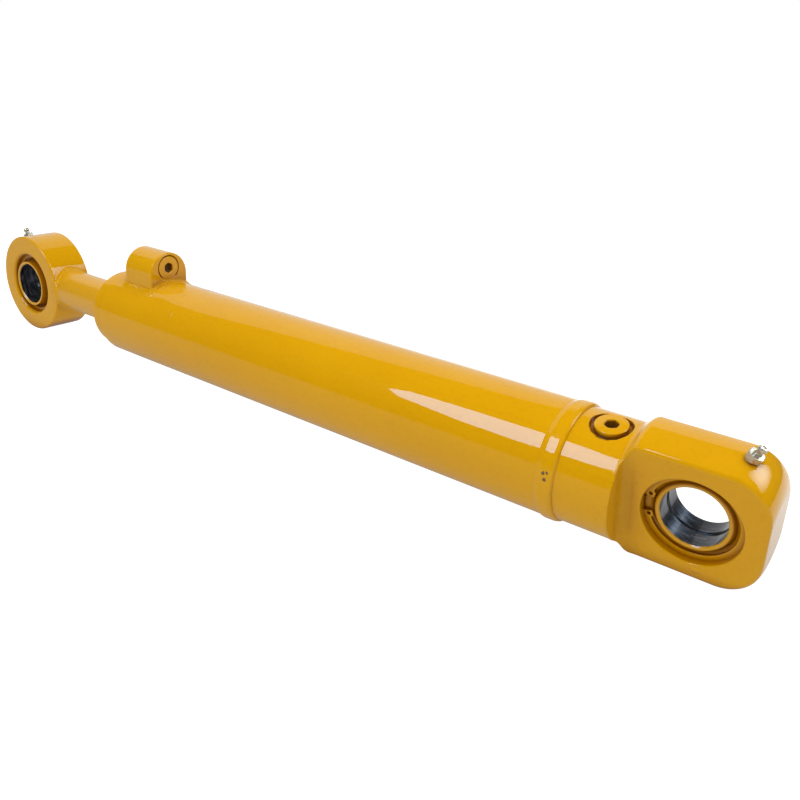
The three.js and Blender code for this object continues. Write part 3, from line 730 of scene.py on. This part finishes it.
shaped_piece(
    "head_port_plug", lambda x, y, z: plug_field(-x, y, z), (-PLUG_LENGTH, -PLUG_REACH, -PLUG_REACH),
    (0, PLUG_REACH, PLUG_REACH), 0.5, "barrel", head_plug_paint, HEAD_PLUG,
)


def nipple_field(u, v, w):
    """A grease nipple that stands on w = 0 with its shank below."""
    rho = np.hypot(u, v)
    hexagonal = meet(hexagon(u, v, NIPPLE_HEX), np.abs(w - 3.0) - 2.7, 0.25)
    hexagonal = meet(hexagonal, rho * 0.5 + (w - 5.7) * 0.87 - 2.9, 0.2)
    shank = np.maximum(rho - NIPPLE_SHANK_R, np.abs(w + 2) - 7)
    neck = np.maximum(rho - 2.7, np.abs(w - 8) - 3)
    head = np.maximum(np.sqrt(rho**2 + (w - 11.3) ** 2) - 3.5, w - 13.4)
    body = join(join(hexagonal, shank, 0.0), join(neck, head, 0.6), 0.5)
    return cut(body, np.sqrt(rho**2 + (w - 14.0) ** 2) - 1.3, 0.2)


def tilted(field, lean):
    """A field stood up on Z, then leaned towards +X."""
    c, s = math.cos(lean), math.sin(lean)
    return lambda x, y, z: field(x * c - z * s, y, x * s + z * c)


def nipple_piece(name, foot, roll, lean, body):
    low = (-14, -7, -9)
    high = (14, 7, 15)
    shaped_piece(name, tilted(nipple_field, lean), low, high, 0.4, body, zinc, Place(foot, roll))


def corner_reach(angle):
    """Distance from the cap pin to the turned corner of the block along a line in its middle plane."""
    cx, cz = -CAP_END - CORNER_R, BLOCK_R - CORNER_R
    along = cx * math.sin(angle) + cz * math.cos(angle)
    return along + math.sqrt(along**2 - cx**2 - cz**2 + CORNER_R**2)


def polar(distance, angle, side=0.0):
    return np.array([distance * math.sin(angle), side, distance * math.cos(angle)])


cap_foot = polar(corner_reach(CAP_NIPPLE_ANGLE) + 0.9, CAP_NIPPLE_ANGLE, CAP_NIPPLE_SIDE)
nipple_piece("cap_grease_nipple", CAP_BLOCK.points(cap_foot), BLOCK_ROLL, CAP_NIPPLE_ANGLE, "barrel")
rod_foot = polar(ROD_EYE_R, ROD_NIPPLE_ANGLE)
nipple_piece("rod_grease_nipple", ROD_END.points(rod_foot), 0.0, ROD_NIPPLE_ANGLE, "rod_assembly")

# ---------------------------------------------------------------- barrel, head and welds


def bead_ripples(height, pitch, middle, reach):
    """Crescent ripples of a weld bead laid round the barrel, strongest along its middle."""

    def displace(along, rho, angle):
        across = (along - middle) / reach
        lag = 0.9 * across**2
        wobble = 0.25 * np.sin(5 * angle + 1) + 0.2 * np.sin(11 * angle + 2)
        wave = np.sin(2 * math.pi * (angle * BARREL_R / pitch + wobble) - 2 * math.pi * lag)
        fade = np.clip(1 - across**2, 0, 1) * (rho > CAP_R - 2)
        slow = 0.12 * np.sin(3 * angle + 0.5) + 0.08 * np.sin(7 * angle + 2)
        return fade * (height * wave + slow)

    return displace


turned_piece(
    "cap_weld",
    [
        (CAP_JOINT, CAP_R - 6.4, 0.0), (CAP_JOINT - 7.4, CAP_R - 0.3, 1.0),
        (CAP_JOINT - 5.8, BEAD_R - 0.8, 1.2), (CAP_JOINT - 3.4, BEAD_R, 2.0),
        (CAP_JOINT + 4.6, BEAD_R, 3.0), (CAP_JOINT + 8.6, BARREL_R + 0.05, 0.5),
        (CAP_JOINT + 9.2, BARREL_R - 0.1, 0.1),
    ],
    "barrel", bead_paint, segments=512, radius=1.0, longest=0.8,
    displace=bead_ripples(0.035, 3.4, CAP_JOINT, 7.5),
)
turned_piece(
    "barrel_tube",
    [
        (CAP_JOINT + JOINT_GAP, BORE_R), (CAP_JOINT + JOINT_GAP, CAP_R - 6.6),
        (CAP_JOINT + 6.4, CAP_R - 0.6, 0.5), (CAP_JOINT + 9.0, BARREL_R, 2.5),
        (HEAD_JOINT - 4, BARREL_R), (HEAD_JOINT - JOINT_GAP, BARREL_R - 5), (HEAD_JOINT - JOINT_GAP, BORE_R),
    ],
    "barrel", paint, segments=320, radius=0.4,
)


def local_bump(station, angle, length, width, height):
    """One smooth lump on a turned surface, for a pad or a lump of weld."""

    def displace(along, rho, turn):
        away = ((along - station) / length) ** 2 + (np.angle(np.exp(1j * (turn - angle))) * rho / width) ** 2
        return height * np.exp(-away) * (rho > BARREL_R - 1.5)

    return displace


turned_piece(
    "head_weld",
    [
        (HEAD_JOINT, BARREL_R - 4.8),
        (HEAD_JOINT - 4.8, BARREL_R - 0.04, 0.1), (HEAD_JOINT - 3.0, BARREL_R + 0.06, 4.0),
        (HEAD_JOINT + 3.0, BARREL_R + 0.06, 4.0), (HEAD_JOINT + 4.8, BARREL_R - 0.04, 0.1),
    ],
    "barrel", paint, segments=384, radius=0.5, longest=0.7,
    displace=local_bump(HEAD_JOINT, -math.radians(54), 1.4, 5.0, 0.45),
)
PAD_STATION, PAD_ANGLE = 590.0, -math.radians(14)
turned_piece(
    "head_housing",
    [
        (HEAD_JOINT + JOINT_GAP, BORE_R), (HEAD_JOINT + JOINT_GAP, BARREL_R - 5), (HEAD_JOINT + 4, BARREL_R),
        (HEAD_FACE, BARREL_R, 1.6), (HEAD_FACE, GLAND_R + FIT_GAP), (GLAND_SEAT, GLAND_R + FIT_GAP),
        (GLAND_SEAT, BORE_R),
    ],
    "barrel", paint, segments=384, radius=0.5, longest=2.0,
    displace=local_bump(PAD_STATION, PAD_ANGLE, 17.0, 17.0, 1.1),
)


def boss_outline(y, z):
    """The boss seen from its end: straight sides under a round crown."""
    return np.hypot(y, np.maximum(z - BOSS_CROWN, 0)) - BOSS_HALF


BOSS_MIDDLE, BOSS_LONG_HALF = (BOSS_START + BOSS_END) / 2, (BOSS_END - BOSS_START) / 2


def boss_field(x, y, z):
    s, rho = -x, np.hypot(y, z)
    body = meet(boss_outline(y, z), np.abs(s - BOSS_MIDDLE) - BOSS_LONG_HALF, 1.6)
    body = np.maximum(body, 46.5 - rho)
    port = np.hypot(y, z - BOSS_AXIS)
    body = cut(body, np.maximum(port - BOSS_SPOT_R, s - BOSS_START - SPOT_DEPTH), 0.7)
    return cut(body, np.maximum(port - PORT_R, s - BOSS_START - PORT_DEPTH), 0.4)


shaped_piece(
    "port_boss", boss_field, (-BOSS_END, -BOSS_HALF, 38), (-BOSS_START, BOSS_HALF, BOSS_CROWN + BOSS_HALF),
    0.8, "barrel", paint,
)


def boss_weld_field(x, y, z):
    """A rippled bead round the foot of the boss, with a second pass ahead of its port face."""
    s, rho = -x, np.hypot(y, z)
    head = rho - BARREL_R
    boss = meet(boss_outline(y, z), np.abs(s - BOSS_MIDDLE) - BOSS_LONG_HALF, 1.6)
    turn = np.arctan2(y, s - BOSS_MIDDLE)
    path = turn * (BOSS_HALF + 3)
    ripple = 0.35 * np.sin(2 * math.pi * path / 3.6 + 0.6 * np.sin(path * 0.35))
    lumps = 0.3 * np.sin(path * 0.21 + 1.0) + 0.2 * np.sin(path * 0.47)
    near = np.exp(-((np.maximum(head, 0) - 1.6) ** 2) / 4.0 - (np.maximum(boss, 0) - 1.6) ** 2 / 4.0)
    port_side = np.clip((BOSS_START + 4 - s) / 4, 0, 1)
    second_pass = np.exp(-((boss - 6.2) ** 2) / 3.0 - head**2 / 9.0) * port_side
    undercut = 0.9 * np.exp(-((boss - 0.5) ** 2) / 0.5) * np.clip(head - 1, 0, 1)
    fillet = join(head, boss, 4.2) - near * (1.2 + ripple + lumps)
    fillet = fillet - second_pass * (1.1 + ripple) + undercut
    band = np.maximum(np.maximum(head - 6.8, boss - 9.0), np.maximum(-1.2 - head, -1.2 - boss))
    return np.maximum(fillet, band)


shaped_piece(
    "port_boss_weld", boss_weld_field, (-BOSS_END - 10, -BOSS_HALF - 10, 30),
    (-BOSS_START + 10, BOSS_HALF + 10, 58),
    0.7, "barrel", paint,
)

# ---------------------------------------------------------------- gland and wiper

WIPER_SEAT = GLAND_FACE - 9
turned_piece(
    "gland",
    [
        (GLAND_SEAT + FIT_GAP, GLAND_BORE_R), (WIPER_SEAT, GLAND_BORE_R), (WIPER_SEAT, WIPER_R),
        (GLAND_FACE, WIPER_R, 0.4), (GLAND_FACE, GLAND_FLANGE_R, 1.7), (HEAD_FACE + 0.7, GLAND_FLANGE_R, 0.6),
        (HEAD_FACE + JOINT_GAP, GLAND_R), (GLAND_SEAT + FIT_GAP, GLAND_R),
    ],
    "barrel", paint, segments=256, radius=0.5,
)
turned_piece(
    "wiper_seal",
    [
        (WIPER_SEAT + FIT_GAP, ROD_R + 2.5), (WIPER_SEAT + FIT_GAP, WIPER_R - FIT_GAP),
        (GLAND_FACE - 0.4, WIPER_R - FIT_GAP, 0.4), (GLAND_FACE + 2.5, ROD_R + 1.9, 0.5),
        (GLAND_FACE + 2.5, ROD_R + FIT_GAP, 0.1), (GLAND_FACE - 1, ROD_R + 2 * FIT_GAP),
    ],
    "barrel", rubber, segments=192, radius=0.4,
)

# ---------------------------------------------------------------- rod and rod eye

ROD_FOOT = PIN_TO_PIN - ROD_EYE_R


def eye_disc(x, y, z):
    return meet(np.hypot(x, z) - ROD_EYE_R, np.abs(y) - ROD_EYE_HALF, 1.8)


def rod_eye_field(x, y, z):
    bore = np.hypot(x, z) - BEARING_R
    return cut(eye_disc(x, y, z), bore, ROD_MOUTH)


EYE_REACH = ROD_EYE_R + 1
shaped_piece(
    "rod_eye", rod_eye_field, (-EYE_REACH, -ROD_EYE_HALF, -EYE_REACH), (EYE_REACH, ROD_EYE_HALF, EYE_REACH),
    0.9, "rod_assembly", paint, ROD_END,
)
bearing("rod", ROD_END, "rod_assembly", "rod_ball", ROD_INNER_HALF, ROD_BALL_HALF, 1.5, -1, rod_ring_finish)

NUT_START, PISTON_END = 94.0, 162.0
turned_piece(
    "rod",
    [
        (NUT_START - 2, 0), (NUT_START - 2, SPIGOT_R, 1.5), (PISTON_END + FIT_GAP, SPIGOT_R),
        (PISTON_END + FIT_GAP, ROD_R, 0.8), (ROD_FOOT + 4, ROD_R, 0.3), (ROD_FOOT + 4, 0),
    ],
    "rod_assembly", rod_finish, segments=224, radius=0.6,
)


ROD_WELD_START = 51.0


def rod_weld_field(x, y, z):
    """A rippled fillet between the rod and the rim of the rod eye."""
    eye = eye_disc(x, y, z)
    rho = np.hypot(y, z)
    bar = np.maximum(rho - ROD_R, -x)
    turn = np.arctan2(y, z)
    path = turn * (ROD_R + 2)
    ripple = 0.3 * np.sin(2 * math.pi * path / 3.4 + 0.7 * np.sin(path * 0.3))
    near = np.exp(-((np.maximum(eye, 0) - 1.2) ** 2) / 3.0 - (np.maximum(rho - ROD_R, 0) - 1.2) ** 2 / 3.0)
    fillet = join(eye, bar, 3.0) - near * (0.8 + ripple)
    band = np.maximum(np.maximum(eye - 4.2, rho - ROD_R - 4.2), np.maximum(-1.0 - eye, -1.0 - (rho - ROD_R)))
    return np.maximum(np.maximum(fillet, band), ROD_WELD_START - x)


shaped_piece(
    "rod_eye_weld", rod_weld_field, (ROD_WELD_START - 1, -ROD_R - 6, -ROD_R - 6),
    (ROD_EYE_R + 6, ROD_R + 6, ROD_R + 6),
    0.7, "rod_assembly", paint, ROD_END,
)

# ---------------------------------------------------------------- finishes of the pieces kept from the CAD

KEPT_FINISH = {
    "cap_plug_washer": steel, "head_plug_washer": steel, "rod_bushing": bronze, "buffer_seal": blue_seal,
    "rod_seal": blue_seal, "gland_o_ring": rubber, "gland_backup_ring": blue_seal, "piston": steel,
    "piston_nut": steel, "piston_seal": rubber, "piston_wear_band_1": bronze, "piston_wear_band_2": bronze,
}
for node, finish in KEPT_FINISH.items():
    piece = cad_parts[node]
    piece.data.materials.clear()
    piece.data.materials.append(finish)

# ---------------------------------------------------------------- floor, lights and camera


def stage_mesh(name, corners, material):
    mesh = bpy.data.meshes.new(name)
    mesh.from_pydata(corners, [], [tuple(range(len(corners)))])
    mesh.materials.append(material)
    piece = bpy.data.objects.new(name, mesh)
    bpy.context.scene.collection.objects.link(piece)
    return piece


def strength_by_ray(tree, seen, mirrored, scattered):
    """A strength that differs for the camera's rays, for reflections and for scattered light."""
    path = tree.nodes.new("ShaderNodeLightPath")

    def choose(ray, otherwise, chosen):
        node = tree.nodes.new("ShaderNodeMix")
        tree.links.new(path.outputs[ray], node.inputs[0])
        for socket, value in ((node.inputs[2], otherwise), (node.inputs[3], chosen)):
            if isinstance(value, float):
                socket.default_value = value
            else:
                tree.links.new(value, socket)
        return node.outputs[0]

    return choose("Is Camera Ray", choose("Is Glossy Ray", scattered, mirrored), seen)


def floor_material():
    """A pale floor that glows, so that it stays white with hardly a shadow."""
    n = Nodes("pale_floor")
    tone = n.ramp(n.noise(3.0, 2.0), (0.3, FLOOR_TONES[0]), (0.7, FLOOR_TONES[1]))
    backward = n.math("ADD", n.axis("X"), n.math("MULTIPLY", n.axis("Y"), 2.0))
    mirrored = n.add("ShaderNodeMapRange")
    n.feed(mirrored.inputs["Value"], backward)
    for socket, value in zip(list(mirrored.inputs)[1:5], FLOOR_MIRRORED):
        n.feed(socket, value)
    glow = strength_by_ray(n.tree, FLOOR_SEEN, mirrored.outputs[0], FLOOR_SCATTERED)
    n.set(Base_Color=tone, Roughness=0.9, Emission_Color=(1.0, 1.0, 1.0, 1.0), Emission_Strength=glow)
    n.shader.inputs["Specular IOR Level"].default_value = 0.0
    return n.material


FLOOR_HALF, FLOOR_SEEN, FLOOR_SCATTERED = 30.0, 1.0, 0.47
FLOOR_TONES = (0.295, 0.30)
# The floor's reflection brightens towards the back: from X + 2 Y in metres to strength.
FLOOR_MIRRORED = (0.4, 1.1, 0.25, 0.85)
floor_edge = [(-1, -1), (1, -1), (1, 1), (-1, 1)]
stage_mesh("floor", [(x * FLOOR_HALF, y * FLOOR_HALF, 0) for x, y in floor_edge], floor_material())


def glowing_panel(name, corners, mirrored, scattered, tint=None, fade=None):
    """A flat softbox or sheet given by its corners in metres.

    The tint colours only its reflections. A fade is a (centre, reach) over which the glow dies away.
    """
    n = Nodes(name)
    glow = n.add("ShaderNodeEmission")
    if tint:
        mirrored_ray = n.add("ShaderNodeLightPath").outputs["Is Glossy Ray"]
        n.feed(glow.inputs["Color"], n.mix(mirrored_ray, (1.0, 1.0, 1.0), tint))
    if fade:
        mirrored = n.math("MULTIPLY", mirrored, n.ramp(n.near(*fade), (0.0, 0.0), (0.7, 1.0)))
    n.feed(glow.inputs["Strength"], strength_by_ray(n.tree, 0.0, mirrored, scattered))
    n.feed(n.tree.nodes["Material Output"].inputs["Surface"], glow.outputs[0])
    panel = stage_mesh(name, corners, n.material)
    panel.visible_camera = False
    panel.visible_shadow = False
    return panel


KEY_Y, SHEET_Z, BACK_Y, KEY_TINT = -1.5, 2.0, 5.5, (0.47, 0.74, 1.15)
KEY_OUTLINE = [
    (-1.37, 2.15), (-1.235, 1.64), (-0.985, 1.19), (-0.65, 0.935), (-0.44, 0.90), (-0.18, 1.04),
    (-0.06, 1.50), (-0.12, 2.00), (-0.50, 2.43), (-0.70, 2.62), (-0.96, 2.56), (-1.23, 2.42),
]
glowing_panel("key_softbox", [(x, KEY_Y, z) for x, z in KEY_OUTLINE], 10.0, 3.5, KEY_TINT)
SHEET_OUTLINE = [
    (-2.2, -0.45), (-1.2, 0.42), (-0.66, 0.95), (-0.56, 1.45), (-0.05, 1.8), (0.8, 2.2),
    (0.8, BACK_Y), (-4.5, BACK_Y), (-4.5, -0.45),
]
glowing_panel("overhead_sheet", [(x, y, SHEET_Z) for x, y in SHEET_OUTLINE], 0.78, 0.8)
WALL_LEFT, WALL_TOP = -18.0, 4.5
WALL_OUTLINE = [(WALL_LEFT, 0.0), (0.0, 0.0), (0.0, WALL_TOP), (WALL_LEFT, WALL_TOP)]
glowing_panel("back_wall", [(x, BACK_Y, z) for x, z in WALL_OUTLINE], 0.8, 0.0)


def facing_panel(name, target, azimuths, elevations, distance, mirrored):
    """A flat softbox that fills a window of directions, in degrees, as seen from a target point."""

    def direction(azimuth, elevation):
        a, e = math.radians(azimuth), math.radians(elevation)
        return np.array([math.cos(e) * math.cos(a), math.cos(e) * math.sin(a), math.sin(e)])

    middle = direction(sum(azimuths) / 2, sum(elevations) / 2)
    window = [(0, 0), (1, 0), (1, 1), (0, 1)]
    rays = [direction(azimuths[i], elevations[j]) for i, j in window]
    corners = [tuple(np.array(target) + ray * distance / (ray @ middle)) for ray in rays]
    centre = tuple(np.array(target) + middle * distance)
    glowing_panel(name, corners, mirrored, 0.0, RIM_TINT, (centre, RIM_REACH))


RIM_TINT, RIM_REACH = (0.7, 0.85, 1.0), 0.95
facing_panel("rim_softbox", CAP_PIN * MM, (8, 58), (24, 72), 2.0, 9.0)

FILL_SIZE, FILL_GLOW, FILL_PLACE = 2.0, 1.9, (0.9, 0.1, 1.8)
fill_data = bpy.data.lights.new("top_fill", "AREA")
fill_data.shape = "SQUARE"
fill_data.size = FILL_SIZE
fill_data.energy = FILL_GLOW * FILL_SIZE**2 * math.pi
fill = bpy.data.objects.new("top_fill", fill_data)
bpy.context.scene.collection.objects.link(fill)
fill.location = FILL_PLACE
fill.visible_camera = False
fill.visible_glossy = False

# Strengths of the surroundings: seen by the camera, mirrored and scattered.
WORLD_STRENGTHS = (1.0, 0.04, 0.5)
world = bpy.data.worlds.new("studio")
bpy.context.scene.world = world
world.use_nodes = True
background = world.node_tree.nodes["Background"]
background.inputs["Color"].default_value = (1.0, 1.0, 1.0, 1.0)
world_strength = strength_by_ray(world.node_tree, *WORLD_STRENGTHS)
world.node_tree.links.new(world_strength, background.inputs["Strength"])

CAMERA_PLACE, CAMERA_DEGREES = (0.55920, -0.55864, 0.35129), (67.6119, -2.7902, 37.7681)
CAMERA_LENS, CAMERA_SHIFT = 36.1065, (0.015764, -0.0088145)
camera_data = bpy.data.cameras.new("camera")
camera_data.sensor_width = 36.0
camera_data.lens = CAMERA_LENS
camera_data.shift_x, camera_data.shift_y = CAMERA_SHIFT
camera_data.clip_end = 50.0
camera = bpy.data.objects.new("camera", camera_data)
bpy.context.scene.collection.objects.link(camera)
camera.location = CAMERA_PLACE
camera.rotation_euler = tuple(math.radians(a) for a in CAMERA_DEGREES)
bpy.context.scene.camera = camera
bpy.context.scene.view_settings.view_transform = "Standard"
